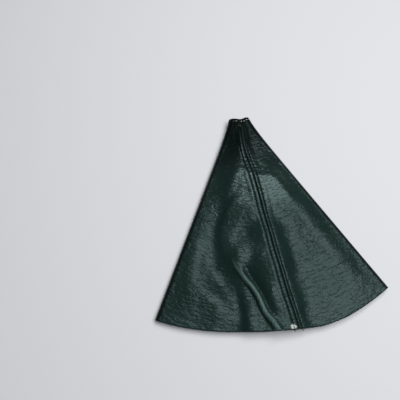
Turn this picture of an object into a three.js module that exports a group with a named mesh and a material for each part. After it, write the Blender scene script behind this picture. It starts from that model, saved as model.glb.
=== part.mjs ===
// Leather gear lever gaiter, lying flat on a table as it comes out of its packet.
//
// One sector of soft leather is wrapped into a cone and closed by a single seam on the front. Both edges at the
// seam are turned under, closed by a hidden row of stitches, and held open by a row of topstitching on each side.
// The neck, which fits round the lever, has a turned and stitched hem. The wide mouth is cut raw, because a
// retaining ring clamps it to the floor of the car. Nothing holds the cone open here, so it lies as two layers:
// the back one flat on the table, the front one humped and creased.
//
// Every place on the gaiter is given by its slant (distance from the cone's apex), by its arc length across from
// the centre line, or the angle that it subtends there, and by its height above the table.
import * as THREE from "three";

// Driving dimensions, in millimetres and degrees.
const CONE_ANGLE = 56.7; // between the two folded sides of the flattened cone
const SIDE_DRAW_IN = 1.3; // the folded sides lie this far inside that angle
const MOUTH_SLANT = 220.8; // apex to the raw edge of the mouth, where it reaches furthest
const NECK_SLANT = 17.5; // apex to the folded edge of the neck
const NECK_SAG = 2.2; // the neck's edge dips at its middle
const NECK_SAG_MIDDLE = 1;
const NECK_SAG_WIDTH = 5;
const NECK_HALF_WIDTH = 8.7; // the neck is a short tube, wider than the cone would be there
const NECK_SHARPNESS = 4; // how quickly the tube of the neck flares into the cone
const LEATHER = 1.1; // thickness
const SIDE_FOLD_RADIUS = 3.2; // the leather's bend at the two sides, at the middle of its thickness
const NECK_FOLD_RADIUS = 5.2; // the same bend at the neck, where the hem is stiffer
const NECK_FOLD_REACH = 25; // how far down the cone the neck's rounder bend is felt
// The mouth's edge as it lies, as [degrees from the centre line, slant]: the humps pull it back on the left.
const MOUTH_LINE = [
  [-29, 216.5], [-16, 214.4], [-8, 213.5], [-3, 214.4], [0, 215], [4, 216.5],
  [8, 218.8], [11, 220.6], [16, 220.8], [20, 219.9], [24, 219], [29, 218],
];
const MOUTH_REACH = 6; // how soon that pull dies out towards the neck

// The seam's course down the front, as [slant, degrees from the centre line].
const SEAM_LINE = [
  [14, -3.6], [27, -3.2], [47, -1], [72, 2], [97, 2.9], [120, 3.3], [151, 3.6], [192, 4.2], [218, 4.6],
];
const SEAM_GAP = 0.3; // between the two turned edges
const SEAM_ALLOWANCE = 7.5; // leather turned under on each side of the seam
const TURN_GAP = 0.2; // inside a turned edge or hem, between its two layers
const TOPSTITCH_LEFT = 4; // from the seam to the row of stitches on its left
const TOPSTITCH_RIGHT = 3; // and to the row on its right

const HEM_DEPTH = 8; // leather turned in at the neck
const HEM_STITCH = 4; // from the neck's edge down to its row of stitches
const HEM_TRIM = 1; // the seam allowances stop this far below the hem

const THREAD = 0.6; // diameter
const THREAD_AT_HOLE = 0.5; // the share of it that shows at a needle hole
const THREAD_CLEARANCE = 0.15; // between a thread and the leather
const STITCH = 3.6; // length of a topstitch
const HEM_STITCH_LENGTH = 2.7;
const NECK_LIFT_END = 45; // the back layer touches the table from this slant on
const THREAD_TAIL = 3; // loose end past the raw edge of the mouth

// Numbers of facets.
const STATIONS = [[64, 7], [108, 11], [MOUTH_SLANT, 17]]; // down the cone: [to this slant, this many rows]
const INNER_COLUMNS = 8; // between the left topstitching and the crest
const OUTER_COLUMNS = 14; // between the crest's foot and the left side
const RIGHT_COLUMNS = 12;
const BACK_COLUMNS = 6;
const FOLD_STEPS = 5;
const CURVE_STEPS = 5; // in each span of a fold's path
const TURN_STEPS = 4;
const THREAD_SIDES = 4;

const TURN_RADIUS = (LEATHER + TURN_GAP) / 2; // of the leather's middle, where it is turned under
const TURN_INSET = TURN_RADIUS + LEATHER / 2 + SEAM_GAP / 2; // from the seam to the crown of its turned edge

const { degToRad, radToDeg, smoothstep, lerp, clamp } = THREE.MathUtils;
const halfAngle = degToRad(CONE_ANGLE) / 2;
const flatPlace = (slant, angle) =>
  new THREE.Vector2(slant * Math.sin(angle), -slant * Math.cos(angle));

// The folds of the front layer. A path is a line of [slant, angle in degrees, height], and left and right are how far
// the fold spreads to each side as one goes along it.
const FOLDS = [
  // Neck ridge.
  {
    path: [
      [17, -3.4, 1], [28, -3, 2.2], [38, -2, 2.8], [50, -0.8, 1.8], [62, 1, 0.6], [76, 2.4, 0],
    ],
    left: 5, right: 5, power: 3,
  },
  // Neck skirt.
  {
    path: [
      [26, -5, 0], [34, -5.4, 3.2], [46, -5.6, 2.6], [58, -5.8, 1.2], [70, -5.8, 0],
    ],
    left: 5, right: 9, power: 3,
  },
  // Neck crest.
  {
    path: [
      [110, 21, 0], [99, 18.9, 2.5], [92, 17.1, 4], [85, 12.2, 5.5], [79.5, 6.9, 5.5], [76, 1, 5],
      [76, -4.9, 5], [79, -9.5, 4], [86, -14.2, 2.2], [94, -18, 0],
    ],
    left: 26, right: 5, power: 1.15,
  },
  // Cross valley.
  {
    path: [
      [97, -1.9, 0], [94, -5.5, -1.8], [92, -9.4, -1.8], [96, -11.6, 0],
    ],
    left: 5, right: 6, power: 1.5,
  },
  // Tongue rim.
  {
    path: [
      [104, -1.5, 0], [103, -4.9, 2], [102, -8.4, 2.6], [106, -11.2, 3], [112, -12.8, 3], [120, -13.3, 3],
      [129, -13.6, 3], [138, -13.2, 2.4], [146, -12.8, 1.6],
    ],
    left: 16, right: 5, power: 2,
  },
  // Tongue tip.
  {
    path: [
      [146, -12.6, 1.2], [138, -10.4, 2], [130, -8.3, 2], [124, -5.3, 1.2], [120, -1.7, 0],
    ],
    left: 10, right: 4, power: 2,
  },
  // Side roll.
  {
    path: [
      [84, -20.5, 0], [98, -21.4, 1.8], [112, -21.6, 3], [123, -22, 3.6], [135, -22.6, 3.8], [147, -23, 3.4],
      [159, -22.6, 2], [172, -21, 0],
    ],
    left: 12, right: 7, power: 2,
  },
  // Side valley.
  {
    path: [
      [68, -12.4, 0], [80, -12.8, -0.6], [91, -13.9, -1.2], [101, -15, -1.8], [112, -16.2, -2.6],
      [123, -17.2, -3.6], [134, -18, -4.4], [145, -18.2, -4.4], [155, -16.8, -2.4], [163, -15, 0],
    ],
    left: 6.5, right: 4, power: 1.35,
  },
  // Lower valley.
  {
    path: [
      [150, -16, 0], [160, -13.8, -2], [170, -11.2, -3], [180, -9.4, -2.4], [190, -8, 0],
    ],
    left: 7, right: 10, power: 2,
  },
  // Bowl.
  {
    path: [
      [123, -1.1, 0], [129, -4.6, -1.2], [134, -7.1, -2], [140, -8.6, -2.4], [147, -9.7, -2.4], [154, -9.7, -2],
    ],
    left: 12, right: 4, power: 1.3,
  },
  // Pleat lip.
  {
    path: [
      [150, -10.8, 0], [156, -9.9, 1], [162, -8.5, 1.8], [170, -6.6, 2.4], [176, -5, 2.8], [185, -3.6, 3],
      [193, -2.9, 3], [200, -2.2, 3], [207, -1, 3], [213, -0.2, 3], [226, 1.3, 3],
    ],
    left: 3, right: 2.2, power: 2,
  },
  // Lip foot.
  {
    path: [
      [144, -14.8, 0], [150, -13.2, -3], [156, -11.3, -5.2], [162, -9.6, -6], [170, -7.6, -6],
      [178, -5.8, -4.6], [185, -4.6, -2.2], [192, -3.9, 0],
    ],
    left: 2.2, right: 9, power: 1.5,
  },
  // Lip foot at the mouth.
  {
    path: [
      [176, -6.2, 0], [185, -4.6, -1.6], [193, -3.9, -2.2], [200, -3.1, -2.2], [207, -2, -2.2], [213, -1.1, -2],
      [226, 0.5, -2],
    ],
    left: 2.2, right: 4, power: 1.2,
  },
  // Trough.
  {
    path: [
      [150, -7.4, 0], [157, -6.6, -1.2], [165, -5.4, -2], [175, -3.8, -2.2], [185, -2.4, -2.2], [195, -1.7, -2],
      [206, -0.9, -1.6], [224, 0.8, -1.4],
    ],
    left: 4, right: 3, power: 1.6,
  },
  // Seam ridge.
  {
    path: [
      [104, 2, 0], [118, 1.6, 1.8], [134, 1.2, 3.4], [151, 1, 4.4], [173, 1, 5], [192, 1.4, 5.4],
      [218, 1.9, 5.4], [232, 2.2, 5.4],
    ],
    left: 24, right: 11, power: 4,
  },
  // Mouth hump.
  {
    path: [
      [176, -19, 1], [183, -17, 3], [188, -14.6, 3.6], [194, -12.2, 3], [199, -10.5, 1],
    ],
    left: 11, right: 11, power: 2,
  },
  // Mouth ridge.
  {
    path: [
      [188, -6.8, 0], [192, -6.3, 0.8], [197, -5.7, 1.6], [203, -5.1, 2.2], [211, -4.9, 2.4], [226, -4.7, 2.4],
    ],
    left: 5, right: 3.5, power: 2,
  },
  // Right field.
  {
    path: [
      [100, 17, 1], [130, 18, 2], [165, 19.5, 2.5], [188, 22, 2.5], [205, 21, 1.5],
    ],
    left: 18, right: 18, power: 2,
  },
];
// Waves that the whole front has: their length, bearing in degrees and height.
const UNEVENNESS = [[46, 20, 0.45], [31, 75, 0.3], [23, -40, 0.16]];
const WAVE_BEND = 4; // how far the waves wander to their side
const WAVE_BEND_PITCH = 2.3;
const DOME = 3; // the front layer's own arch
const PILLOW_START = 22; // slants between which the arch grows
const PILLOW_FULL = 80;

// The crest along the tongue's rim and the pleat's lip, as [slant, degrees]. One line of knots follows it and one
// its foot, and both are kept between the topstitching and the side where the gaiter is narrow.
const CREST_LINE = [
  [17, -8.4], [26, -12.5], [40, -12], [68, -9.5], [91, -10.5], [112, -12.8], [129, -13.6], [140, -13.2], [150, -11.2],
  [156, -9.6], [162, -8.3], [170, -6.4], [176, -4.9], [185, -3.5], [193, -2.8], [200, -2.1], [207, -0.9], [213, -0.1],
  [226, 1.4],
];
const CREST_FOOT = 3; // from the crest down to its foot
const CREST_MARGIN = 0.08; // at least this share of the room on either side of it
const CREST_FOOT_SHARE = 0.06; // of the room, where that is less

// Value of a line of [place, value] points at a place.
function interpolated(line, place) {
  const next = line.findIndex(([at], k) => k > 0 && (at >= place || k === line.length - 1));
  const [[from, first], [to, last]] = [line[next - 1], line[next]];
  return lerp(first, last, clamp((place - from) / (to - from), 0, 1));
}
const seamAt = (slant) => slant * degToRad(interpolated(SEAM_LINE, slant));

for (const fold of FOLDS) {
  const knots = fold.path.map(([slant, angle, height]) => {
    const { x, y } = flatPlace(slant, degToRad(angle));
    return new THREE.Vector3(x, y, height);
  });
  const curve = new THREE.CatmullRomCurve3(knots, false, "catmullrom", 0.5);
  fold.curve = curve.getPoints((knots.length - 1) * CURVE_STEPS);
}

// The height that a fold gives a place: of all the spans of its curve, what the strongest gives. It fades with the
// distance from the curve, sooner or later on its left and on its right. Power 2 is round and 1 is a sharp crease.
function foldHeight({ curve, left, right, power }, place) {
  let strongest = 0;
  for (let i = 0; i + 1 < curve.length; i++) {
    const [from, to] = [curve[i], curve[i + 1]];
    const span = new THREE.Vector2(to.x - from.x, to.y - from.y);
    const offset = new THREE.Vector2(place.x - from.x, place.y - from.y);
    const share = clamp(offset.dot(span) / span.lengthSq(), 0, 1);
    const distance = offset.clone().addScaledVector(span, -share).length();
    const side = distance > 0 ? span.cross(offset) / (span.length() * distance) : 0;
    const reach = lerp(right, left, (1 + clamp(side, -1, 1)) / 2);
    const height = lerp(from.z, to.z, share) * Math.exp(-((distance / reach) ** power));
    if (Math.abs(height) > Math.abs(strongest)) strongest = height;
  }
  return strongest;
}
function unevenness({ x, y }) {
  return UNEVENNESS.reduce((sum, [length, bearing, height], number) => {
    const [cos, sin] = [Math.cos(degToRad(bearing)), Math.sin(degToRad(bearing))];
    const bend = WAVE_BEND * Math.sin(((y * cos - x * sin) * WAVE_BEND_PITCH) / length);
    return sum + height * Math.sin((2 * Math.PI * (x * cos + y * sin + bend)) / length + number);
  }, 0);
}

// Half the flattened width at a slant, as arc length from the centre line to the outside of the fold.
const halfWidth = (slant) =>
  ((halfAngle * slant - SIDE_DRAW_IN) ** NECK_SHARPNESS + NECK_HALF_WIDTH ** NECK_SHARPNESS) **
  (1 / NECK_SHARPNESS);
const foldRadius = (slant) =>
  lerp(SIDE_FOLD_RADIUS, NECK_FOLD_RADIUS, Math.exp(-(slant - NECK_SLANT) / NECK_FOLD_REACH));
const crownOfFold = (slant) => halfWidth(slant) - LEATHER / 2 - foldRadius(slant);

// How far the front layer stands above the level of its two sides.
function relief(slant, across) {
  const place = flatPlace(slant, across / slant);
  const share = clamp(across / crownOfFold(slant), -1, 1);
  const grown = smoothstep(slant, PILLOW_START, PILLOW_FULL);
  const arch = DOME * (1 - share ** 2) * grown;
  const folds = FOLDS.reduce((sum, fold) => sum + foldHeight(fold, place), 0) + unevenness(place) * grown ** 2;
  return arch + folds * (1 - share ** 4) ** 2;
}
// The hem's stitches hold the neck just off the table.
const backHeight = (slant) =>
  LEATHER / 2 + (THREAD + 2 * THREAD_CLEARANCE) * (1 - smoothstep(slant, NECK_SLANT + HEM_STITCH, NECK_LIFT_END));
const frontHeight = (slant, across) => backHeight(slant) + 2 * foldRadius(slant) + relief(slant, across);

// Unit directions at a place: along the slant towards the mouth, across to the right, and up.
function directions(slant, across) {
  const angle = across / slant;
  return {
    down: new THREE.Vector3(Math.sin(angle), -Math.cos(angle), 0),
    right: new THREE.Vector3(Math.cos(angle), Math.sin(angle), 0),
    up: new THREE.Vector3(0, 0, 1),
  };
}
function placeOf(slant, across, height) {
  return directions(slant, across).down.multiplyScalar(slant).setZ(height);
}

// Where a place ends up once the mouth is pulled back and the neck dips.
function drawnIn(slant, across) {
  const mouth = interpolated(MOUTH_LINE, radToDeg(across / slant));
  const pull = (MOUTH_SLANT - mouth) * (slant / MOUTH_SLANT) ** MOUTH_REACH;
  const fromMiddle = (across - NECK_SAG_MIDDLE) / NECK_SAG_WIDTH;
  const sag = NECK_SAG * Math.exp(-(fromMiddle ** 2) - (slant - NECK_SLANT) / NECK_SLANT);
  const moved = slant - pull + sag;
  return [moved, (across * moved) / slant];
}

// A knot of the leather's middle surface: its point, and the way that its outer side faces.
function frontKnot(slant, across) {
  const PROBE = 0.25;
  const rise = (frontHeight(slant, across + PROBE) - frontHeight(slant, across - PROBE)) / (2 * PROBE);
  const fall = (frontHeight(slant + PROBE, across) - frontHeight(slant - PROBE, across)) / (2 * PROBE);
  const { down, right, up } = directions(slant, across);
  const facing = up.clone().addScaledVector(right, -rise).addScaledVector(down, -fall).normalize();
  return {
    point: placeOf(slant, across, frontHeight(slant, across)),
    facing,
    right: right.addScaledVector(up, rise).normalize(),
  };
}
// A knot of leather that is bent round a centre below a front knot, by an angle from its crown.
function bentKnot(knot, towards, angle, radius) {
  const facing = knot.facing
    .clone()
    .multiplyScalar(Math.cos(angle))
    .addScaledVector(towards, Math.sin(angle));
  return {
    point: knot.point.clone().addScaledVector(knot.facing, -radius).addScaledVector(facing, radius),
    facing,
  };
}
const turnedUnder = (knot) => bentKnot(knot, knot.facing, Math.PI, TURN_RADIUS);

const steps = (count) => Array.from({ length: count + 1 }, (_, i) => i / count);
const between = (from, to, count) => steps(count).map((share) => lerp(from, to, share));

// Across positions of the front's knots, from the seam out to the side's fold.
function leftPlaces(crown, row, side, slant) {
  const room = row + side;
  const margin = CREST_MARGIN * room;
  const [drawn] = drawnIn(slant, slant * degToRad(interpolated(CREST_LINE, slant)));
  const crest = clamp(slant * degToRad(interpolated(CREST_LINE, drawn)), margin - side, row - margin);
  const foot = crest - Math.min(CREST_FOOT, CREST_FOOT_SHARE * room);
  return [crown, ...between(row, crest, INNER_COLUMNS), ...between(foot, -side, OUTER_COLUMNS)];
}
const rightPlaces = (crown, row, side) => [crown, ...between(row, side, RIGHT_COLUMNS)];

// The leather's middle surface at one slant, from the raw edge under the left of the seam, over the left side,
// across the back and up over the right side to the raw edge under the right of the seam.
function section(slant, trimmed) {
  const seam = seamAt(slant);
  const side = crownOfFold(slant);
  const radius = foldRadius(slant);
  const inset = trimmed ? SEAM_GAP / 2 : TURN_INSET;
  const front = (across) => frontKnot(...drawnIn(slant, across));
  // The turned edge on one side of the seam: -1 is left, 1 is right. Near the neck there is less room for it.
  const edge = (sign, topstitch) => {
    const room = side - sign * seam;
    const at = {
      crown: seam + sign * inset,
      row: seam + sign * Math.min(topstitch, room / 2),
      raw: seam + sign * Math.min(SEAM_ALLOWANCE, room),
    };
    const crown = front(at.crown);
    const towardsSeam = crown.right.clone().multiplyScalar(-sign);
    const turn = between(Math.PI, 0, TURN_STEPS)
      .slice(0, -1)
      .map((angle) => bentKnot(crown, towardsSeam, angle, TURN_RADIUS));
    return { at, knots: [turnedUnder(front(at.raw)), turnedUnder(front(at.row)), ...turn] };
  };
  // The bend at one side of the gaiter, without its first and last knots.
  const bend = (from, to, centre) =>
    between(from, to, FOLD_STEPS)
      .slice(1, -1)
      .map((angle) => {
        const { right, up } = directions(slant, centre);
        const facing = right.multiplyScalar(Math.cos(angle)).addScaledVector(up, Math.sin(angle));
        const middle = placeOf(...drawnIn(slant, centre), backHeight(slant) + radius);
        return { point: middle.addScaledVector(facing, radius), facing };
      });
  const left = edge(-1, TOPSTITCH_LEFT);
  const right = edge(1, TOPSTITCH_RIGHT);
  const back = between(-side, side, BACK_COLUMNS).map((across) => ({
    point: placeOf(...drawnIn(slant, across), backHeight(slant)),
    facing: new THREE.Vector3(0, 0, -1),
  }));
  return [
    ...left.knots,
    ...leftPlaces(left.at.crown, left.at.row, side, slant).map(front),
    ...bend(Math.PI / 2, (3 * Math.PI) / 2, -side),
    ...back,
    ...bend(-Math.PI / 2, Math.PI / 2, side),
    ...rightPlaces(right.at.crown, right.at.row, side).reverse().map(front),
    ...right.knots.reverse(),
  ];
}
// Columns that other pieces follow, counted from the left raw edge.
const UNDER = 2 + TURN_STEPS; // knots turned under on each side of the seam
const COLUMN = { leftBobbin: 1, leftCrown: UNDER, leftTopstitch: UNDER + 1 };

// Rows of knots down the gaiter. The hem is turned in at the neck, and the seam's allowances are trimmed off it.
const firstSlant = NECK_SLANT + LEATHER / 2 + TURN_RADIUS;
const trimSlant = NECK_SLANT + HEM_DEPTH + HEM_TRIM;
const openSlants = [
  firstSlant,
  NECK_SLANT + HEM_STITCH,
  NECK_SLANT + HEM_DEPTH,
  trimSlant,
  ...STATIONS.flatMap(([to, count], k) => between(STATIONS[k - 1]?.[0] ?? trimSlant, to, count).slice(1)),
];
const hemRow = (slant) => section(slant, true).map(turnedUnder);
const hemTurn = between(Math.PI, 0, TURN_STEPS)
  .slice(0, -1)
  .map((angle) =>
    section(firstSlant, true).map((knot) => {
      const towardsApex = new THREE.Vector3(-knot.point.x, -knot.point.y, 0).normalize();
      return bentKnot(knot, towardsApex, angle, TURN_RADIUS);
    }),
  );
const hemRows = [
  hemRow(NECK_SLANT + HEM_DEPTH),
  hemRow(NECK_SLANT + HEM_STITCH),
  ...hemTurn,
];
const rows = [...hemRows, ...openSlants.map((slant) => section(slant, slant < trimSlant))];
const firstFullRow = hemRows.length + openSlants.indexOf(trimSlant);
const hemStitchRow = hemRows.length + 1;
const columns = rows[0].length;
COLUMN.rightBobbin = columns - 2;
COLUMN.rightCrown = columns - 1 - UNDER;
COLUMN.rightTopstitch = columns - 2 - UNDER;

// Gives a sheet its thickness. A sheet is rows of knots, and a cell of it between four knots is there if
// `isThere` says so. The two sides are joined by a wall along every free edge.
function thickened(sheet, isThere) {
  const width = sheet[0].length;
  const positions = [];
  for (const side of [1, -1])
    for (const row of sheet)
      for (const { point, facing } of row)
        positions.push(...point.clone().addScaledVector(facing, (side * LEATHER) / 2).toArray());
  const inner = sheet.length * width;
  const triangles = [];
  const edges = new Map();
  for (let i = 0; i + 1 < sheet.length; i++)
    for (let j = 0; j + 1 < width; j++) {
      if (!isThere(i, j)) continue;
      const a = i * width + j;
      const corners = [a, a + 1, a + 1 + width, a + width];
      const [p, q, r, s] = corners;
      triangles.push(p, q, r, p, r, s, inner + p, inner + r, inner + q, inner + p, inner + s, inner + r);
      corners.forEach((from, k) => {
        const to = corners[(k + 1) % 4];
        if (!edges.delete(`${to},${from}`)) edges.set(`${from},${to}`, [from, to]);
      });
    }
  for (const [from, to] of edges.values())
    triangles.push(to, from, inner + from, to, inner + from, inner + to);
  return indexedGeometry(positions, triangles);
}

function indexedGeometry(positions, triangles) {
  const used = [...new Set(triangles)].sort((a, b) => a - b);
  const renumbered = new Map(used.map((old, k) => [old, k]));
  const kept = used.flatMap((k) => positions.slice(3 * k, 3 * k + 3));
  const geometry = new THREE.BufferGeometry();
  geometry.setAttribute("position", new THREE.Float32BufferAttribute(kept, 3));
  geometry.setIndex(triangles.map((k) => renumbered.get(k)));
  geometry.computeVertexNormals();
  return geometry;
}

// A line of knots just off the leather, for a thread to follow: `side` is 1 outside the leather, -1 inside.
function besideLeather(knots, side, lift = 0) {
  const offset = LEATHER / 2 + THREAD_CLEARANCE + THREAD / 2 + lift;
  return knots.map(({ point, facing }) => ({
    point: point.clone().addScaledVector(facing, side * offset),
    facing: facing.clone().multiplyScalar(side),
  }));
}
// The same line, carried straight on past its last knot for the loose end.
function withTail(knots) {
  const [before, last] = knots.slice(-2);
  const onwards = last.point.clone().sub(before.point).setLength(THREAD_TAIL);
  return [...knots, { point: last.point.clone().add(onwards), facing: last.facing }];
}

// A thread along a line of knots. With a stitch length it is drawn down at each needle hole and full in between.
function threadAlong(knots, stitch) {
  const length = [0];
  for (let k = 1; k < knots.length; k++)
    length.push(length[k - 1] + knots[k].point.distanceTo(knots[k - 1].point));
  const whole = length.at(-1);
  const marks = [];
  if (stitch) {
    const count = Math.round(whole / stitch);
    for (let k = 0; k < count; k++)
      marks.push([(k * whole) / count, THREAD_AT_HOLE], [((k + 0.5) * whole) / count, 1]);
    marks.push([whole, THREAD_AT_HOLE]);
  } else length.forEach((at) => marks.push([at, 1]));
  const rings = marks.map(([at, full]) => {
    const next = clamp(length.findIndex((reached) => reached >= at), 1, knots.length - 1);
    const share = (at - length[next - 1]) / (length[next] - length[next - 1]);
    const [from, to] = [knots[next - 1], knots[next]];
    const forward = to.point.clone().sub(from.point).normalize();
    const across = forward.clone().cross(from.facing).normalize();
    const outward = across.clone().cross(forward);
    const centre = from.point.clone().lerp(to.point, share).addScaledVector(outward, (-THREAD * (1 - full)) / 2);
    return between(0, 2 * Math.PI, THREAD_SIDES)
      .slice(0, -1)
      .map((angle) =>
        centre
          .clone()
          .addScaledVector(across, (Math.cos(angle) * THREAD * full) / 2)
          .addScaledVector(outward, (Math.sin(angle) * THREAD * full) / 2),
      );
  });
  return loft(rings);
}
// A closed skin over rings of points, with a flat fan at each end.
function loft(rings) {
  const sides = rings[0].length;
  const positions = rings.flat().flatMap((point) => point.toArray());
  const triangles = [];
  for (let i = 0; i + 1 < rings.length; i++)
    for (let j = 0; j < sides; j++) {
      const a = i * sides + j;
      const b = i * sides + ((j + 1) % sides);
      triangles.push(a, a + sides, b, b, a + sides, b + sides);
    }
  const end = (rings.length - 1) * sides;
  for (let j = 1; j + 1 < sides; j++) triangles.push(0, j, j + 1, end, end + j + 1, end + j);
  return indexedGeometry(positions, triangles);
}

const leather = new THREE.MeshStandardMaterial({ color: 0x2c4642, roughness: 0.45, metalness: 0 });
const seamThread = new THREE.MeshStandardMaterial({ color: 0x101a19, roughness: 0.7, metalness: 0 });
const hemThread = new THREE.MeshStandardMaterial({ color: 0x8a9693, roughness: 0.7, metalness: 0 });

const gaiter = new THREE.Group();
function add(name, geometry, material) {
  const mesh = new THREE.Mesh(geometry, material);
  mesh.name = name;
  gaiter.add(mesh);
}

function leatherPanel() {
  const isTrimmed = (j) => j < UNDER || j >= columns - 1 - UNDER;
  add("leather_panel", thickened(rows, (i, j) => i >= firstFullRow || !isTrimmed(j)), leather);
}

function seamThreads() {
  const down = (column) => rows.slice(firstFullRow).map((row) => row[column]);
  const topstitch = (column) => threadAlong(withTail(besideLeather(down(column), 1)), STITCH);
  add("left_topstitch_thread", topstitch(COLUMN.leftTopstitch), seamThread);
  add("right_topstitch_thread", topstitch(COLUMN.rightTopstitch), seamThread);
  // On a turned-under allowance the leather's outer side faces the inside of the gaiter.
  add("left_bobbin_thread", threadAlong(besideLeather(down(COLUMN.leftBobbin), 1)), seamThread);
  add("right_bobbin_thread", threadAlong(besideLeather(down(COLUMN.rightBobbin), 1)), seamThread);
}

// The row that closes the seam lies in the groove between the two turned edges, on the inside.
function closingThread() {
  const reach = TURN_RADIUS + LEATHER / 2 + THREAD_CLEARANCE + THREAD / 2;
  const bendCentre = ({ point, facing }) => point.clone().addScaledVector(facing, -TURN_RADIUS);
  const knots = rows.slice(firstFullRow).map((row) => {
    const crowns = [row[COLUMN.leftCrown], row[COLUMN.rightCrown]];
    const [left, right] = crowns.map(bendCentre);
    const across = right.clone().sub(left);
    const facing = crowns[0].facing.clone().add(crowns[1].facing).projectOnPlane(across).normalize();
    const depth = Math.sqrt(reach ** 2 - across.lengthSq() / 4);
    return { point: left.lerp(right, 0.5).addScaledVector(facing, -depth), facing: facing.negate() };
  });
  add("seam_closing_thread", threadAlong(knots), seamThread);
}

function hemThreads() {
  const round = (row) => row.slice(UNDER, columns - UNDER);
  const outside = besideLeather(round(rows[hemStitchRow]), 1);
  const inside = besideLeather(round(rows[1]), 1);
  add("hem_stitch_thread", threadAlong(outside, HEM_STITCH_LENGTH), hemThread);
  add("hem_bobbin_thread", threadAlong(inside), hemThread);
}

leatherPanel();
seamThreads();
closingThread();
hemThreads();

// The origin is under the middle of the gaiter as it lies.
const middle = new THREE.Box3().setFromObject(gaiter).getCenter(new THREE.Vector3());
gaiter.position.set(-middle.x, -middle.y, 0);

export default gaiter;
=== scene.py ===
"""A leather gear lever gaiter lying flat on a pale table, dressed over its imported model."""

import math

import bmesh
import bpy
import numpy as np
from mathutils import Matrix, Vector


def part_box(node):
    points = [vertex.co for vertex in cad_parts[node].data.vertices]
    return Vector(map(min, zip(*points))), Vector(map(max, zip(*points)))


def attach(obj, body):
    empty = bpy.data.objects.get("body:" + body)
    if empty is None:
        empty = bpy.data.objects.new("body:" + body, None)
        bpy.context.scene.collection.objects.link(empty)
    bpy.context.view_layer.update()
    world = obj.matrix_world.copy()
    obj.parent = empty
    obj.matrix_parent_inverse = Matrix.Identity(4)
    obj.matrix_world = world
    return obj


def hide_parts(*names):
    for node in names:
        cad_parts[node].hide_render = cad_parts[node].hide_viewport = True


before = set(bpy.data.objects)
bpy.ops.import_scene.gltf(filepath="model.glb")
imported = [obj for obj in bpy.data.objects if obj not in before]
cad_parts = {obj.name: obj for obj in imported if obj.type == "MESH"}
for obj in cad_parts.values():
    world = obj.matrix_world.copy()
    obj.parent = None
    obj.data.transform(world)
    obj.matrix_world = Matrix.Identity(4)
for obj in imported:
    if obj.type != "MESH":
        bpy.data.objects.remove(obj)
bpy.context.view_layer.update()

# The leather panel. One sector of cowhide, split to about 1.1 mm, is wrapped into a cone. Its two edges at
# the seam are turned under, and its neck edge is turned in as a hem. Nothing holds it open, so it lies on the
# table as two layers: the back one flat, the front one humped and creased from being packed.
MM = 0.001  # lengths below are in millimetres, and slants are distances from the cone's apex
CONE_ANGLE = math.radians(56.7)
MOUTH_SLANT = 220.8
# The mouth's edge as it lies: (degrees from the middle, slant). It is pulled back on the left by the humps.
MOUTH_LINE = [
    (-29, 216.5), (-16, 214.4), (-8, 213.5), (-3, 214.4), (0, 215), (4, 216.5),
    (8, 218.8), (11, 220.6), (16, 220.8), (20, 219.9), (24, 219), (29, 218),
]
MOUTH_REACH = 6  # how soon that pull dies out towards the neck
NECK_SAG = 2.2  # how far the neck's edge dips at its middle
NECK_SAG_MIDDLE = 1
NECK_SAG_WIDTH = 5
SIDE_DRAW_IN = 1.3
NECK_SLANT = 17.5
NECK_HALF_WIDTH = 8.7
NECK_SHARPNESS = 4
NECK_LIFT = 0.9  # the hem's stitches hold the neck off the table
NECK_LIFT_END = 45.0
LEATHER = 1.1
SIDE_FOLD_RADIUS = 3.2
NECK_FOLD_RADIUS = 5.2
NECK_FOLD_REACH = 25.0
HEM_DEPTH = 8.0
HEM_TRIM = 1.0
# The seam's course down the front: (slant, degrees from the middle).
SEAM_LINE = [
    (14, -3.6), (27, -3.2), (47, -1.0), (72, 2.0), (97, 2.9), (120, 3.3), (151, 3.6), (192, 4.2), (218, 4.6),
]
SEAM_GAP = 0.3
SEAM_ALLOWANCE = 7.5
TOPSTITCH = {-1: 4.0, 1: 3.0}  # from the seam to the stitches on its left and on its right
TURN_RADIUS = 0.65  # of the leather's middle, where it is turned under
APEX_PAST_PANEL = 16.84  # from the neck's highest edge to the cone's apex
APEX_LEFT_OF_MIDDLE = 0.5

panel_low, panel_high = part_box("leather_panel")
panel_middle = (panel_low.x + panel_high.x) / 2
apex = np.array((panel_middle - APEX_LEFT_OF_MIDDLE * MM, panel_high.y + APEX_PAST_PANEL * MM, 0))


def smoothstep(value, low, high):
    share = np.clip((value - low) / (high - low), 0, 1)
    return share * share * (3 - 2 * share)


def lerp(first, last, share):
    return first + (last - first) * share


def half_width(slant):
    cone = CONE_ANGLE / 2 * slant - SIDE_DRAW_IN
    return (cone**NECK_SHARPNESS + NECK_HALF_WIDTH**NECK_SHARPNESS) ** (1 / NECK_SHARPNESS)


def fold_radius(slant):
    return lerp(SIDE_FOLD_RADIUS, NECK_FOLD_RADIUS, np.exp(-(slant - NECK_SLANT) / NECK_FOLD_REACH))


def crown_of_fold(slant):
    return half_width(slant) - LEATHER / 2 - fold_radius(slant)


def seam_at(slant):
    slants, degrees = zip(*SEAM_LINE)
    return slant * np.radians(np.interp(slant, slants, degrees))


def back_height(slant):
    lifted = 1 - smoothstep(slant, NECK_SLANT + HEM_DEPTH / 2, NECK_LIFT_END)
    return LEATHER / 2 + NECK_LIFT * lifted


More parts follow.
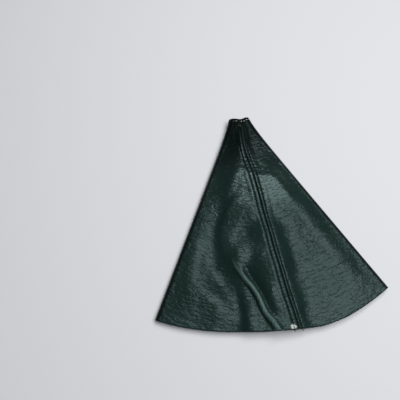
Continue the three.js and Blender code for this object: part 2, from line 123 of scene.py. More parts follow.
# The folds of the front layer. Each has a path of (slant, degrees, height), how far it spreads to the left and
# to the right as one goes along the path, and an exponent: 2 is rounded, and near 1 is creased.
FOLDS = {
    "neck ridge": (
        [(17, -3.4, 1), (28, -3, 2.2), (38, -2, 2.8), (50, -0.8, 1.8), (62, 1, 0.6), (76, 2.4, 0)],
        5, 5, 3,
    ),
    "neck skirt": (
        [(26, -5, 0), (34, -5.4, 3.6), (46, -5.6, 2.8), (58, -5.8, 1.2), (68, -5.8, 0)],
        5, 7, 3,
    ),
    "neck crest": (
        [(108, 22.5, 0), (99, 20.8, 3), (91, 18.6, 4.6), (86, 16, 5.6), (82, 12.4, 6.2),
         (80, 8.5, 6.2), (78.5, 5, 6.2), (75, 0.4, 6.1), (72.5, -4, 6), (71.5, -8, 5.6),
         (73.5, -12, 4), (79, -15.5, 2), (88, -18, 0)],
        32, 15, 1.2,
    ),
    "cross valley": (
        [(97, -1.9, 0), (94, -5.5, -0.8), (92, -9.4, -0.7), (96, -11.6, 0)],
        5, 6, 1.5,
    ),
    "tongue rim": (
        [(104, -1.5, 0), (102, -4.9, 2), (100, -8.4, 2.6), (102, -11, 3), (108, -12.6, 3),
         (114, -13.6, 3), (122, -14.6, 3), (130, -14.8, 3), (137, -14, 2.2), (143, -13, 1),
         (148, -12, 0)],
        18, 5, 2,
    ),
    "side roll": (
        [(84, -20.5, 0), (98, -21.6, 1.2), (112, -22.6, 1.8), (123, -23.4, 1.8), (135, -24, 1.6),
         (147, -24, 1.2), (159, -23.6, 0)],
        12, 7, 2,
    ),
    "side valley": (
        [(76, -13, 0), (88, -14.6, -1), (101, -17, -1.8), (112, -19, -3), (123, -20.4, -4.4),
         (134, -20.8, -5.6), (145, -20.2, -6.2), (155, -18.2, -6.4), (166, -15, -6.2),
         (177, -11.8, -5.4), (187, -9.4, -3.8), (197, -7.6, -1.6), (204, -6.6, 0)],
        17, 14, 2,
    ),
    "bowl": (
        [(114, 2, 0), (121, -2.2, -1.4), (127, -5.6, -2.4), (133, -8, -2), (138, -9.6, 0)],
        14, 4, 1.3,
    ),
    "knee of the pleat": (
        [(134, -5.4, 0), (141, -7, 2), (148, -8, 2.8), (156, -7.6, 2.4), (165, -6, 0)],
        7, 9, 2,
    ),
    "pleat lip": (
        [(150, -10.8, 0), (156, -9.9, 1), (162, -8.5, 2), (170, -6.6, 2.8), (176, -5, 3),
         (185, -3.6, 3.2), (193, -2.9, 3.2), (200, -2.2, 3), (207, -1, 3), (213, -0.2, 3),
         (226, 1.3, 3)],
        3, 1.4, 2,
    ),
    "lip foot": (
        [(160, -9, 0), (166, -8.1, -0.8), (171, -7, -1.2), (178, -5.8, -1.4), (185, -4.6, -1.2),
         (192, -3.9, 0)],
        1, 6, 1.3,
    ),
    "lip foot at the mouth": (
        [(176, -6.2, 0), (185, -4.6, -1.2), (193, -3.9, -1.6), (200, -3.1, -1.4), (207, -2, -1.4),
         (213, -1.1, -1.4), (226, 0.5, -1.4)],
        1, 3, 1.3,
    ),
    "trough": (
        [(150, -7.4, 0), (157, -6.6, -1.2), (165, -5.4, -2), (175, -3.8, -2.2), (185, -2.4, -2),
         (195, -1.5, -1), (204, -0.8, 0)],
        4, 3, 1.6,
    ),
    "seam ridge": (
        [(106, 2.4, 0), (116, 2.1, 1.4), (128, 1.8, 3), (140, 1.6, 4.2), (152, 1.4, 4.9),
         (173, 1.4, 5.4), (192, 1.5, 5.6), (218, 2, 5.6), (232, 2.2, 5.6)],
        20, 14, 2.4,
    ),
    "seam drop": (
        [(108, 5.4, 0), (118, 7, -1.2), (132, 9, -2.4), (145, 9.4, -2.8), (160, 9, -2.6),
         (175, 8.4, -2.1), (190, 8.2, -1.8), (205, 8, -1.6), (228, 7.6, -1.6)],
        15, 8, 1.8,
    ),
    "mouth hump": (
        [(176, -19, 0.8), (183, -17, 2.2), (188, -14.6, 2.6), (194, -12.2, 2.2), (199, -10.5, 0.8)],
        11, 11, 2,
    ),
    "mouth ridge": (
        [(180, -7.4, 0), (186, -6.9, 1.4), (192, -6.5, 2.2), (200, -6.2, 2.6), (209, -6.2, 2.8),
         (226, -6, 2.8)],
        9, 5, 2.4,
    ),
    "mouth fall": (
        [(213, -26, -0.8), (213, -18, -1.8), (213, -11, -1.6), (213, -7, 0)],
        9, 9, 2,
    ),
    "left shoulder": (
        [(64, -12, 0), (73, -13, 1.8), (83, -14, 2.4), (93, -14.5, 1.4), (102, -15, 0)],
        8, 8, 2,
    ),
    "left field": (
        [(120, -25.5, 0), (138, -25.6, 3), (155, -25.2, 5.4), (170, -25, 7), (185, -24.8, 7),
         (198, -24.6, 5), (208, -24, 2)],
        13, 9, 2,
    ),
    "right shoulder": (
        [(66, 15, 0), (78, 17, 1.4), (90, 18.5, 1.8), (102, 19, 1), (112, 19.5, 0)],
        8, 8, 2,
    ),
    "right field": (
        [(88, 18.5, 0), (100, 22, 3), (112, 23.4, 5.4), (128, 24.2, 6.6), (145, 24.5, 7),
         (165, 24.6, 6.6), (185, 24.6, 5), (203, 24.4, 1.6)],
        10, 16, 2,
    ),
}
# Slight waves all over, as (length, bearing, height), and how far each wanders aside.
UNEVENNESS = [(46, 20, 0.45), (31, 75, 0.3), (23, -40, 0.16), (12, 5, 0.05)]
WAVE_WANDER = 4
WAVE_WANDER_PITCH = 2.3
SPLINE_STEPS = 5
DOME = 3.0  # the front layer's own arch
PILLOW_START, PILLOW_FULL = 22.0, 80.0
ALLOWANCE_PUFF = 0.25  # the seam's turned edges lift the leather above them
ALLOWANCE_EDGE = 1.2  # half the width over which that lift ends
PUFF_START = 6  # from the hem to where it is full
STITCH_PULL = 0.45  # the topstitching draws it down again
STITCH_PULL_WIDTH = 0.8


def drawn_in(slant, across):
    """Where a place ends up, as the mouth and the neck were not cut or pulled quite even."""
    degrees, slants = zip(*MOUTH_LINE)
    mouth = MOUTH_SLANT - np.interp(np.degrees(across / slant), degrees, slants)
    pull = mouth * (slant / MOUTH_SLANT) ** MOUTH_REACH
    dip = np.exp(-(((across - NECK_SAG_MIDDLE) / NECK_SAG_WIDTH) ** 2))
    sag = NECK_SAG * dip * np.exp(-(slant - NECK_SLANT) / NECK_SLANT)
    moved = slant - pull + sag
    return moved, across * moved / slant


def smooth_path(path):
    """A Catmull-Rom curve through a fold's path, as flat places and heights."""
    slant, degrees, height = np.array(path, float).T
    angle = np.radians(degrees)
    knots = np.stack((slant * np.sin(angle), -slant * np.cos(angle), height), axis=1)
    knots = np.concatenate((2 * knots[:1] - knots[1:2], knots, 2 * knots[-1:] - knots[-2:-1]))
    share = np.arange(SPLINE_STEPS)[:, None] / SPLINE_STEPS
    spans = []
    for a, b, c, d in zip(knots, knots[1:], knots[2:], knots[3:]):
        curve = 2 * b + (c - a) * share + (2 * a - 5 * b + 4 * c - d) * share**2
        spans.append(0.5 * (curve + (3 * b - a - 3 * c + d) * share**3))
    return np.concatenate((*spans, knots[-2:-1]))


FOLD_CURVES = [(smooth_path(path), *profile) for path, *profile in FOLDS.values()]


def fold_height(curve, left, right, exponent, x, y):
    """The height that one fold gives to flat places: of all its curve's spans, what the strongest gives."""
    height = np.zeros(x.shape)
    for (x0, y0, h0), (x1, y1, h1) in zip(curve, curve[1:]):
        span_x, span_y = x1 - x0, y1 - y0
        length = math.hypot(span_x, span_y)
        share = np.clip(((x - x0) * span_x + (y - y0) * span_y) / length**2, 0, 1)
        off_x, off_y = x - x0 - share * span_x, y - y0 - share * span_y
        distance = np.hypot(off_x, off_y)
        side = (span_x * off_y - span_y * off_x) / (length * np.maximum(distance, 1e-9))
        reach = lerp(right, left, (1 + np.clip(side, -1, 1)) / 2)
        here = lerp(h0, h1, share) * np.exp(-((distance / reach) ** exponent))
        height = np.where(np.abs(here) > np.abs(height), here, height)
    return height


def unevenness(x, y):
    height = 0
    for number, (length, bearing, rise) in enumerate(UNEVENNESS):
        along = x * math.cos(math.radians(bearing)) + y * math.sin(math.radians(bearing))
        aside = y * math.cos(math.radians(bearing)) - x * math.sin(math.radians(bearing))
        wander = WAVE_WANDER * np.sin(aside / length * WAVE_WANDER_PITCH)
        height = height + rise * np.sin(math.tau * (along + wander) / length + number)
    return height


def seam_form(slant, across):
    """The lift over the seam's turned edges, less the pull of the two rows of topstitching."""
    beside = across - seam_at(slant)
    present = smoothstep(slant, NECK_SLANT + HEM_DEPTH, NECK_SLANT + HEM_DEPTH + PUFF_START)
    inner, outer = SEAM_ALLOWANCE - ALLOWANCE_EDGE, SEAM_ALLOWANCE + ALLOWANCE_EDGE
    lift = ALLOWANCE_PUFF * (1 - smoothstep(np.abs(beside), inner, outer))
    for side, distance in TOPSTITCH.items():
        lift = lift - STITCH_PULL * np.exp(-(((beside - side * distance) / STITCH_PULL_WIDTH) ** 2))
    return lift * present


def front_height(slant, across):
    x, y = slant * np.sin(across / slant), -slant * np.cos(across / slant)
    share = np.clip(across / crown_of_fold(slant), -1, 1)
    puffed = smoothstep(slant, PILLOW_START, PILLOW_FULL)
    arch = DOME * (1 - share**2) * puffed
    folds = sum(fold_height(*fold, x, y) for fold in FOLD_CURVES)
    folds = folds + seam_form(slant, across) + unevenness(x, y) * puffed**2
    return back_height(slant) + 2 * fold_radius(slant) + arch + folds * (1 - share**4) ** 2


def directions(slant, across):
    """Unit vectors at places on the table: towards the mouth, and across to the right."""
    angle = across / slant
    flat = np.zeros(angle.shape)
    down = np.stack((np.sin(angle), -np.cos(angle), flat), axis=-1)
    right = np.stack((np.cos(angle), np.sin(angle), flat), axis=-1)
    return down, right


UP = np.array((0.0, 0.0, 1.0))
PROBE = 0.2


def unit(vectors):
    return vectors / np.maximum(np.linalg.norm(vectors, axis=-1, keepdims=True), 1e-9)


def place_of(slant, across, height):
    slant, across, height = np.broadcast_arrays(slant, across, height)
    return directions(slant, across)[0] * slant[..., None] + UP * height[..., None]


def front(slant, across):
    """Points of the front layer's middle, the way its outer side faces, and its slope across."""
    slant, across = np.broadcast_arrays(slant, across)
    slant, across = drawn_in(slant, across)
    rise = (front_height(slant, across + PROBE) - front_height(slant, across - PROBE)) / (2 * PROBE)
    fall = (front_height(slant + PROBE, across) - front_height(slant - PROBE, across)) / (2 * PROBE)
    down, right = directions(slant, across)
    facing = unit(UP - right * rise[..., None] - down * fall[..., None])
    return place_of(slant, across, front_height(slant, across)), facing, unit(right + UP * rise[..., None])


def bent(point, facing, towards, angle, radius=TURN_RADIUS):
    turned = facing * math.cos(angle) + towards * math.sin(angle)
    return point + (turned - facing) * radius


def between(first, last, count):
    return np.linspace(first, last, count + 1)


SEAM_OFFSETS = np.array([0, 0.4, 0.8, 1.2, 1.6, 1.9, 2.2, 2.5, 2.8, 3.1, 3.5, 4.0, 4.6, 5.4, 6.4])
FRONT_COLUMNS = {-1: 80, 1: 58}
BACK_COLUMNS = 20
BEND_STEPS = 12
TURN_STEPS = 6
ALLOWANCE_KNOTS = (SEAM_ALLOWANCE, 6.0, 4.5)
EDGE_COLUMNS = len(ALLOWANCE_KNOTS) + TURN_STEPS


def sheet_rows(slant, inset):
    """The leather's middle surface along rows of one slant each, from one raw edge round to the other."""
    slant = slant[:, None]
    seam = seam_at(slant)
    side = crown_of_fold(slant)
    inset = inset[:, None]

    def edge(sign):
        room = side - sign * seam
        widths = np.minimum(np.array(ALLOWANCE_KNOTS)[None, :], room)
        point, facing, _ = front(slant, seam + sign * widths)
        under = bent(point, facing, facing, math.pi)
        point, facing, right = front(slant, seam + sign * inset)
        angles = between(math.pi, 0, TURN_STEPS)[:-1]
        turn = [bent(point, facing, -sign * right, angle) for angle in angles]
        return np.concatenate((under, *turn), axis=1)

    def field(sign):
        """Across positions from the seam to the side: close together beside the seam, then even."""
        crown = seam + sign * inset
        room = side - sign * crown
        share = np.minimum(1, 0.5 * room / SEAM_OFFSETS[-1])
        close = crown + sign * SEAM_OFFSETS[None, :] * share
        steps = between(0, 1, FRONT_COLUMNS[sign])[None, 1:]
        return np.concatenate((close, lerp(close[:, -1:], sign * side, steps)), axis=1)

    def bend(angles, centre):
        moved, centre = drawn_in(slant, centre)
        middle = place_of(moved, centre, back_height(slant) + fold_radius(slant))
        _, right = directions(moved, centre)
        radius = fold_radius(slant)[..., None]
        facings = [right * math.cos(angle) + UP * math.sin(angle) for angle in angles[1:-1]]
        return np.concatenate([middle + facing * radius for facing in facings], axis=1)

    across = side * between(-1, 1, BACK_COLUMNS)[None, :]
    quarter = math.pi / 2
    return np.concatenate(
        (
            edge(-1),
            front(slant, field(-1))[0],
            bend(between(quarter, 3 * quarter, BEND_STEPS), -side),
            place_of(*drawn_in(slant, across), back_height(slant)),
            bend(between(-quarter, quarter, BEND_STEPS), side),
            front(slant, field(1)[:, ::-1])[0],
            edge(1)[:, ::-1],
        ),
        axis=1,
    )


ROWS = 170
HEM_RADIUS = 0.6
HEM_BEND_STEPS = 4

slants = between(NECK_SLANT + LEATHER / 2 + HEM_RADIUS, MOUTH_SLANT, ROWS)
trimmed = slants < NECK_SLANT + HEM_DEPTH + HEM_TRIM
rows = sheet_rows(slants, np.where(trimmed, SEAM_GAP / 2, TURN_RADIUS + LEATHER / 2 + SEAM_GAP / 2))
COLUMNS = rows.shape[1] - 1

# The hem: the same leather again, under the first rows, joined to them by a bend round the neck's edge.
outward = unit(np.cross(np.gradient(rows, axis=1), np.gradient(rows, axis=0)))
hemmed = np.flatnonzero(slants < NECK_SLANT + HEM_DEPTH)[::-1]
bends = between(math.pi, 0, HEM_BEND_STEPS)[1:-1]
hem = [bent(rows[row], outward[row], outward[row], math.pi, HEM_RADIUS) for row in hemmed]
hem += [bent(rows[0], outward[0], unit(rows[0] - rows[1]), angle, HEM_RADIUS) for angle in bends]
cut_slants = np.concatenate(
    (2 * slants[0] - slants[hemmed] - math.pi * HEM_RADIUS, slants[0] - bends * HEM_RADIUS, slants)
)
flat_angles = np.cumsum(np.linalg.norm(np.diff(rows, axis=1, prepend=rows[:, :1]), axis=2), axis=1)
flat_angles = (flat_angles - flat_angles[:, -1:] / 2) / slants[:, None]
rows = np.concatenate((hem, rows))

# A highlight is painted along the pleat's lip on the front layer, strongest where it stands highest.
LIP_HEIGHT = 3
HIGHLIGHT_LEFT, HIGHLIGHT_RIGHT = 1.1, 0.9
lip = smooth_path([(slant, degrees, height / LIP_HEIGHT) for slant, degrees, height in FOLDS["pleat lip"][0]])
is_front = rows[..., 2] > 2 * SIDE_FOLD_RADIUS
lip_highlight = fold_height(lip, HIGHLIGHT_LEFT, HIGHLIGHT_RIGHT, 2, rows[..., 0], rows[..., 1]) * is_front
first_full_row = len(hem) + np.count_nonzero(trimmed)
LAST_ROW = len(rows) - 1

panel = bmesh.new()
bmesh.ops.create_grid(panel, x_segments=COLUMNS, y_segments=LAST_ROW, size=1)


def grid_cell(co):
    return (co.y + 1) / 2 * LAST_ROW, (co.x + 1) / 2 * COLUMNS


def is_trimmed_off(face):
    row, column = grid_cell(face.calc_center_median())
    return row < first_full_row and not EDGE_COLUMNS < column < COLUMNS - EDGE_COLUMNS


bmesh.ops.delete(panel, geom=[face for face in panel.faces if is_trimmed_off(face)], context="FACES")
flat_leather = panel.loops.layers.uv.new("flat_leather")
beside_seam = panel.loops.layers.uv.new("beside_seam")
beside_fold = panel.loops.layers.uv.new("beside_fold")
painted_lip_highlight = panel.verts.layers.float.new("painted_lip_highlight")
for vert in panel.verts:
    row, column = (round(place) for place in grid_cell(vert.co))
    angle = flat_angles[max(0, row - len(hem)), column]
    x, y, _ = rows[row, column]
    slant = math.hypot(x, y)
    vert.co = rows[row, column] * MM + apex
    vert[painted_lip_highlight] = lip_highlight[row, column]
    place = cut_slants[row] * MM * Vector((math.sin(angle), -math.cos(angle)))
    across = slant * math.atan2(x, -y)
    along_seam = MM * Vector((across - seam_at(slant), slant))
    along_fold = MM * Vector((half_width(slant) - abs(across), slant))
    for loop in vert.link_loops:
        loop[flat_leather].uv = place
        loop[beside_seam].uv = along_seam
        loop[beside_fold].uv = along_fold


def linear(hex_colour):
    """Linear RGBA of an sRGB hex value."""
    channels = [int(hex_colour[start : start + 2], 16) / 255 for start in (0, 2, 4)]
    return (*(c / 12.92 if c <= 0.04045 else ((c + 0.055) / 1.055) ** 2.4 for c in channels), 1)


def node(tree, kind, settings, inputs):
    """Adds a node with its settings. Each input is a value, or another node's socket to link."""
    added = tree.nodes.new(kind)
    for name, value in settings.items():
        setattr(added, name, value)
    for name, value in inputs.items():
        if isinstance(value, bpy.types.NodeSocket):
            tree.links.new(value, added.inputs[name])
        else:
            added.inputs[name].default_value = value
    return added


def new_material(name):
    made = bpy.data.materials.new(name)
    made.use_nodes = True
    return made, made.node_tree, made.node_tree.nodes["Principled BSDF"].inputs


def new_piece(mesh, name, *materials):
    """An object of its own from a finished bmesh, in metres and in the row's frame."""
    data = bpy.data.meshes.new(name)
    mesh.to_mesh(data)
    mesh.free()
    for finish in materials:
        data.materials.append(finish)
    data.shade_smooth()
    piece = bpy.data.objects.new(name, data)
    bpy.context.scene.collection.objects.link(piece)
    return piece


# Semi-aniline cowhide, dyed dark green and lightly coated. The coating gives the satin highlights their green
# cast.
green_cowhide, tree, surface = new_material("semi_aniline_cowhide")
surface["Specular Tint"].default_value = linear("DCFFFE")
place = node(tree, "ShaderNodeUVMap", {"uv_map": "flat_leather"}, {}).outputs["UV"]
seam_place = node(tree, "ShaderNodeUVMap", {"uv_map": "beside_seam"}, {}).outputs["UV"]
seam_axes = node(tree, "ShaderNodeSeparateXYZ", {}, {"Vector": seam_place}).outputs

# The dye took unevenly, in clouds a few centimetres wide.
DYE_CLOUD = 35 * MM
clouds = node(
    tree, "ShaderNodeTexNoise", {}, {"Vector": place, "Scale": 1 / DYE_CLOUD, "Detail": 3.0}
).outputs["Fac"]
dye_and_painted_light = node(
    tree, "ShaderNodeMix", {"data_type": "RGBA"},
    {"Factor": clouds, 6: linear("12201D"), 7: linear("1E322D")},
).outputs[2]

# Painted shade: the colour is darkened along both side folds, where the leather turns down, and round the
# neck.
fold_place = node(tree, "ShaderNodeUVMap", {"uv_map": "beside_fold"}, {}).outputs["UV"]
fold_axes = node(tree, "ShaderNodeSeparateXYZ", {}, {"Vector": fold_place}).outputs
fold_shade = node(
    tree, "ShaderNodeMapRange", {"interpolation_type": "SMOOTHSTEP"},
    {"Value": fold_axes["X"], "From Min": 1.5 * MM, "From Max": 7 * MM, "To Min": 0.25},
).outputs["Result"]
neck_shade = node(
    tree, "ShaderNodeMapRange", {"interpolation_type": "SMOOTHSTEP"},
    {"Value": fold_axes["Y"], "From Min": 50 * MM, "From Max": 84 * MM, "To Min": 0.3},
).outputs["Result"]
painted_shade = node(tree, "ShaderNodeMath", {"operation": "MULTIPLY"}, {0: fold_shade, 1: neck_shade}).outputs[0]
dye_and_painted_light = node(
    tree, "ShaderNodeMix", {"data_type": "RGBA"}, {"Factor": painted_shade, 6: linear("040908"), 7: dye_and_painted_light}
).outputs[2]

# Painted highlight: the pleat's sharp edge is painted paler.
painted_highlight = node(tree, "ShaderNodeAttribute", {"attribute_name": "painted_lip_highlight"}, {}).outputs["Fac"]
dye_and_painted_light = node(
    tree, "ShaderNodeMix", {"data_type": "RGBA"}, {"Factor": painted_highlight, 6: dye_and_painted_light, 7: linear("5C7670")}
).outputs[2]

# The pebbles, and the wavy wrinkles that run round the cone, drawn a little coarser than the real ones so
# that they show: they break the highlights up.
PEBBLE = 1.5 * MM
WRINKLE = 2.6 * MM
pebble = node(
    tree, "ShaderNodeTexVoronoi", {"feature": "SMOOTH_F1"},
    {"Vector": place, "Scale": 1 / PEBBLE, "Smoothness": 0.7},
).outputs["Distance"]
stretched = node(
    tree, "ShaderNodeVectorMath", {"operation": "MULTIPLY"}, {0: seam_place, 1: (0.4, 1.0, 1.0)}
).outputs["Vector"]
wrinkles = node(
    tree, "ShaderNodeTexNoise", {},
    {"Vector": stretched, "Scale": 1 / WRINKLE, "Detail": 2.0, "Distortion": 0.7},
).outputs["Fac"]

# The topstitching gathers the leather into a small pucker beside each stitch.
PUCKER_REACH = 6 * MM
STITCH = 3.7
along_row = node(
    tree, "ShaderNodeMath", {"operation": "MULTIPLY"}, {0: seam_axes["Y"], 1: math.tau / (STITCH * MM)}
).outputs[0]
waves = node(tree, "ShaderNodeMath", {"operation": "SINE"}, {0: along_row}).outputs[0]
from_seam = node(tree, "ShaderNodeMath", {"operation": "ABSOLUTE"}, {0: seam_axes["X"]}).outputs[0]
near_seam = node(
    tree, "ShaderNodeMapRange", {"interpolation_type": "SMOOTHSTEP"},
    {"Value": from_seam, "From Min": PUCKER_REACH, "From Max": 3 * MM},
).outputs["Result"]
puckers = node(tree, "ShaderNodeMath", {"operation": "MULTIPLY"}, {0: waves, 1: near_seam}).outputs[0]

# The cut corner of the seam at the mouth has lost its coating, and the pale fibres show.
CUT_CORNER = (-4.2 * MM, 214.6 * MM, 0)
FIBRE = 1.2 * MM
FRAY = 3 * MM
from_corner = node(
    tree, "ShaderNodeVectorMath", {"operation": "DISTANCE"}, {0: seam_place, 1: CUT_CORNER}
).outputs["Value"]
frayed = node(
    tree, "ShaderNodeTexNoise", {}, {"Vector": seam_place, "Scale": 1 / FIBRE, "Detail": 4.0}
).outputs["Fac"]
ragged = node(
    tree, "ShaderNodeMath", {"operation": "MULTIPLY_ADD"}, {0: frayed, 1: FRAY, 2: from_corner}
).outputs[0]
bare = node(
    tree, "ShaderNodeMapRange", {}, {"Value": ragged, "From Min": 4.4 * MM, "From Max": 3.2 * MM}
).outputs["Result"]
colour = node(
    tree, "ShaderNodeMix", {"data_type": "RGBA"}, {"Factor": bare, 6: dye_and_painted_light, 7: linear("C4CCC6")}
).outputs[2]
tree.links.new(colour, surface["Base Color"])
gloss = node(
    tree, "ShaderNodeMapRange", {},
    {"Value": clouds, "From Min": 0.3, "From Max": 0.7, "To Min": 0.28, "To Max": 0.36},
).outputs["Result"]
roughness = node(tree, "ShaderNodeMath", {"operation": "MAXIMUM"}, {0: gloss, 1: bare}).outputs[0]
tree.links.new(roughness, surface["Roughness"])

# The hand rubs the shoulders below the neck to a shine. The hemmed end under the knob stays dull.
shoulders = node(
    tree, "ShaderNodeMapRange", {"interpolation_type": "SMOOTHSTEP"},
    {"Value": fold_axes["Y"], "From Min": 88 * MM, "From Max": 122 * MM, "To Min": 0.42, "To Max": 0.2},
).outputs["Result"]
below_neck = node(
    tree, "ShaderNodeMapRange", {"interpolation_type": "SMOOTHSTEP"},
    {"Value": fold_axes["Y"], "From Min": 34 * MM, "From Max": 62 * MM, "To Min": 0.15},
).outputs["Result"]
shine = node(tree, "ShaderNodeMath", {"operation": "MULTIPLY"}, {0: shoulders, 1: below_neck}).outputs[0]
tree.links.new(shine, surface["Specular IOR Level"])


def bumps(tree, surface, *layers):
    """Adds one bump after another, each a height socket with its depth in metres and its strength."""
    normal = {}
    for height, depth, strength in layers:
        inputs = {"Height": height, "Distance": depth, "Strength": strength}
        normal = {"Normal": node(tree, "ShaderNodeBump", {}, {**inputs, **normal}).outputs["Normal"]}
    tree.links.new(normal["Normal"], surface["Normal"])


bumps(tree, surface, (pebble, 0.15 * MM, 0.5), (wrinkles, 0.8 * MM, 1.0), (puckers, 0.2 * MM, 0.4))

# The flesh side: the split, undyed inner face, pale and fibrous.
flesh_side, tree, surface = new_material("split_suede_flesh_side")
NAP = 1.4 * MM
place = node(tree, "ShaderNodeUVMap", {"uv_map": "flat_leather"}, {}).outputs["UV"]
nap = node(tree, "ShaderNodeTexNoise", {}, {"Vector": place, "Scale": 1 / NAP, "Detail": 6.0}).outputs["Fac"]
tone = node(
    tree, "ShaderNodeMix", {"data_type": "RGBA"}, {"Factor": nap, 6: linear("3C4A46"), 7: linear("66726C")}
).outputs[2]
tree.links.new(tone, surface["Base Color"])
surface["Roughness"].default_value = 0.95
bumps(tree, surface, (nap, 0.3 * MM, 0.8))

leather_panel = new_piece(panel, "gaiter_leather", green_cowhide, flesh_side)
thickness = leather_panel.modifiers.new("thickness", "SOLIDIFY")
thickness.thickness = LEATHER * MM
thickness.offset = 0
thickness.material_offset = 1
thickness.material_offset_rim = 1
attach(leather_panel, "root")
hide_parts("leather_panel")

# The seam's threads. Bonded polyester, dyed darker than the leather, lockstitched through it and the turned
# edge on each side of the seam, with an under thread beneath each row. The seam is closed first, by a row in
# the groove under its two turned edges. The topstitches run off the mouth in loose ends.
THREAD = 0.7
PLY = 1.6 * MM
ROW_FROM_NECK, ROW_FROM_MOUTH = 1.5, 1.0
ROW_POINTS = 240
STITCH_SHOWING = 3.5
SEATED = 0.08  # how far a stitch's middle stands off the leather it is pulled into
CLOSING_DEPTH = 1.45
LOOSE_STRANDS = ((-0.5, 3.2), (0.05, 4.0), (0.6, 2.8))  # the turn to the right in radians, and the length
STRAND_DROOP = 0.45
STRAND_PAST_ROW = 0.45  # from the row's last point to a strand's middle, as a share of its length


def twisted_thread(name, shaded_twist, on_the_ply):
    """A thread's material, place and tone. The plies are a fine wave, which dulls the thread's sheen."""
    finish, tree, surface = new_material(name)
    where = node(tree, "ShaderNodeTexCoord", {}, {}).outputs["Object"]
    ply = node(
        tree, "ShaderNodeTexWave", {"bands_direction": "DIAGONAL"},
        {"Vector": where, "Scale": 1 / PLY, "Distortion": 1.5},
    ).outputs["Fac"]
    # The twist between the plies is painted darker than the plies: painted shade in its grooves.
    tone = node(
        tree, "ShaderNodeMix", {"data_type": "RGBA"},
        {"Factor": ply, 6: linear(shaded_twist), 7: linear(on_the_ply)},
    ).outputs[2]
    bumps(tree, surface, (ply, 0.1 * MM, 0.6))
    return finish, tree, surface, where, tone


dark_thread, tree, surface, _, tone = twisted_thread("bonded_polyester_thread", "040606", "0B100F")
tree.links.new(tone, surface["Base Color"])
surface["Roughness"].default_value = 0.8
surface["Specular IOR Level"].default_value = 0.1


def at_share(along, values, distance):
    return np.array([np.interp(distance, along, axis) for axis in values.T])


def add_grain(mesh, centre, run, facing, length):
    """One stitch: a rounded grain of thread, as long as it shows, lying across the way it faces."""
    side = unit(np.cross(facing, run))
    axes = np.stack((side * THREAD / 2, np.cross(run, side) * THREAD / 2, run * length / 2), axis=1)
    placing = Matrix.Translation(centre * MM + apex) @ Matrix((axes * MM).tolist()).to_4x4()
    bmesh.ops.create_uvsphere(mesh, u_segments=8, v_segments=6, radius=1, matrix=placing)


def stitches(points, facings, pitch, showing):
    """A row of stitches along points."""
    mesh = bmesh.new()
    along = np.cumsum(np.linalg.norm(np.diff(points, axis=0, prepend=points[:1]), axis=1))
    for middle in np.arange(pitch / 2, along[-1], pitch):
        places = (middle - showing / 2, middle, middle + showing / 2)
        before, centre, after = (at_share(along, points, place) for place in places)
        add_grain(mesh, centre, unit(after - before), unit(at_share(along, facings, middle)), showing)
    return mesh


def add_loose_ends(mesh, points):
    """The ends of a row where it runs off the mouth: cut strands that hang over the edge and fan out."""
    ahead = unit(points[-1] - points[-8])
    aside = np.cross(ahead, UP)
    for turn, length in LOOSE_STRANDS:
        run = unit(ahead * math.cos(turn) + aside * math.sin(turn) - UP * STRAND_DROOP)
        centre = points[-1] + run * length * STRAND_PAST_ROW
        add_grain(mesh, centre, run, unit(np.cross(run, aside)), length)


def seam_row(beside, depth):
    slant = np.linspace(NECK_SLANT + ROW_FROM_NECK, MOUTH_SLANT - ROW_FROM_MOUTH, ROW_POINTS)
    points, facings, _ = front(slant, seam_at(slant) + beside)
    return points - facings * depth, facings


def dress_thread(mesh, name, finish):
    piece = new_piece(mesh, name.replace("_thread", "_stitches"), finish)
    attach(piece, "root")
    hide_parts(name)


UPPER = -LEATHER / 2 - SEATED
UNDER = 2 * TURN_RADIUS + LEATHER / 2 + SEATED
for name, beside, depth in (
    ("left_topstitch_thread", -TOPSTITCH[-1], UPPER),
    ("right_topstitch_thread", TOPSTITCH[1], UPPER),
    ("left_bobbin_thread", -TOPSTITCH[-1], UNDER),
    ("right_bobbin_thread", TOPSTITCH[1], UNDER),
    ("seam_closing_thread", 0, CLOSING_DEPTH),
):
    points, facings = seam_row(beside, depth)
    row = stitches(points, facings, STITCH, STITCH_SHOWING)
    if depth == UPPER:
        add_loose_ends(row, points)
    dress_thread(row, name, dark_thread)

# The hem's threads. The same kind of thread, but pale grey, lockstitched through the leather and the turned
# hem: one row of short stitches round the neck, and its under thread inside.
HEM_STITCH = 3.2  # from the neck's edge to the row
HEM_PITCH = 3.1
HEM_SHOWING = 2.0

pale_thread, tree, surface, where, tone = twisted_thread("pale_polyester_thread", "98A09C", "CCD2CE")

# The thread is darker at the left side of the neck, where it no longer stands out from the leather.
sideways = node(tree, "ShaderNodeSeparateXYZ", {}, {"Vector": where}).outputs["X"]
not_darkened = node(
    tree, "ShaderNodeMapRange", {"interpolation_type": "SMOOTHSTEP"},
    {"Value": sideways, "From Min": -7 * MM, "From Max": -5 * MM},
).outputs["Result"]
tone = node(
    tree, "ShaderNodeMix", {"data_type": "RGBA"}, {"Factor": not_darkened, 6: linear("28302D"), 7: tone}
).outputs[2]
tree.links.new(tone, surface["Base Color"])
surface["Roughness"].default_value = 0.6

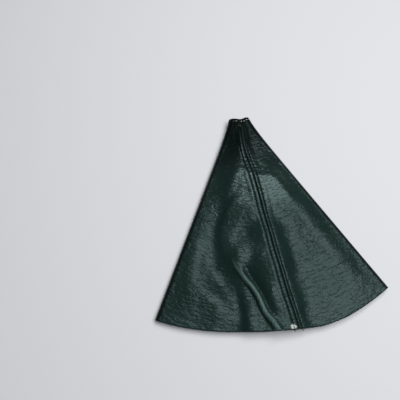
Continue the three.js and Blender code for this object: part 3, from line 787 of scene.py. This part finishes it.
# Three rows of the leather lie close together, so that the middle one knows which way it faces.
ROW_APART = 0.3
row_slants = NECK_SLANT + HEM_STITCH + np.array((-ROW_APART, 0, ROW_APART))
around = sheet_rows(row_slants, np.full(3, SEAM_GAP / 2 + 0.6))
around_facings = unit(np.cross(np.gradient(around, axis=1), np.gradient(around, axis=0)))[1]
kept = slice(EDGE_COLUMNS, COLUMNS - EDGE_COLUMNS + 1)
inside_hem = 2 * HEM_RADIUS + LEATHER / 2 + SEATED
for name, depth in (("hem_stitch_thread", UPPER), ("hem_bobbin_thread", inside_hem)):
    points = around[1, kept] - around_facings[kept] * depth
    row = stitches(points, around_facings[kept], HEM_PITCH, HEM_SHOWING)
    dress_thread(row, name, pale_thread)

# The table. A plain painted board that the gaiter lies on. Its matt paint shows soft shadows and no
# reflections.
table_mesh = bmesh.new()
bmesh.ops.create_grid(table_mesh, x_segments=1, y_segments=1, size=3)
board, _, surface = new_material("matt_painted_board")
surface["Base Color"].default_value = linear("E4E6E9")
surface["Roughness"].default_value = 0.7
table = new_piece(table_mesh, "table", board)

# Light and camera. A dim room, and one softbox overhead, a little to the right.
room = bpy.data.worlds.new("room")
room.use_nodes = True
room.node_tree.nodes["Background"].inputs["Color"].default_value = linear("F4F8FF")
room.node_tree.nodes["Background"].inputs["Strength"].default_value = 0.06
bpy.context.scene.world = room

softbox_light = bpy.data.lights.new("softbox", "AREA")
softbox_light.shape = "RECTANGLE"
softbox_light.size = 1.15
softbox_light.size_y = 0.7
softbox_light.energy = 16.5
softbox = bpy.data.objects.new("softbox", softbox_light)
bpy.context.scene.collection.objects.link(softbox)
softbox_place = Vector(apex) + Vector((0.35, -0.01, 1.2))  # in metres
softbox_target = Vector(apex) + Vector((0.0, -0.12, 0.0))
softbox.matrix_world = Matrix.LocRotScale(
    softbox_place, (softbox_target - softbox_place).to_track_quat("-Z", "Y"), None
)

lens = bpy.data.cameras.new("camera")
lens.lens = 50
lens.sensor_width = 36
camera = bpy.data.objects.new("camera", lens)
bpy.context.scene.collection.objects.link(camera)
camera_place = Vector(apex) + Vector((-69.5, -237.6, 488.5)) * MM
camera_target = Vector(apex) + Vector((-47.6, -88.9, 0)) * MM
camera.matrix_world = Matrix.LocRotScale(
    camera_place, (camera_target - camera_place).to_track_quat("-Z", "Y"), None
)
bpy.context.scene.camera = camera
bpy.context.scene.view_settings.view_transform = "Standard"
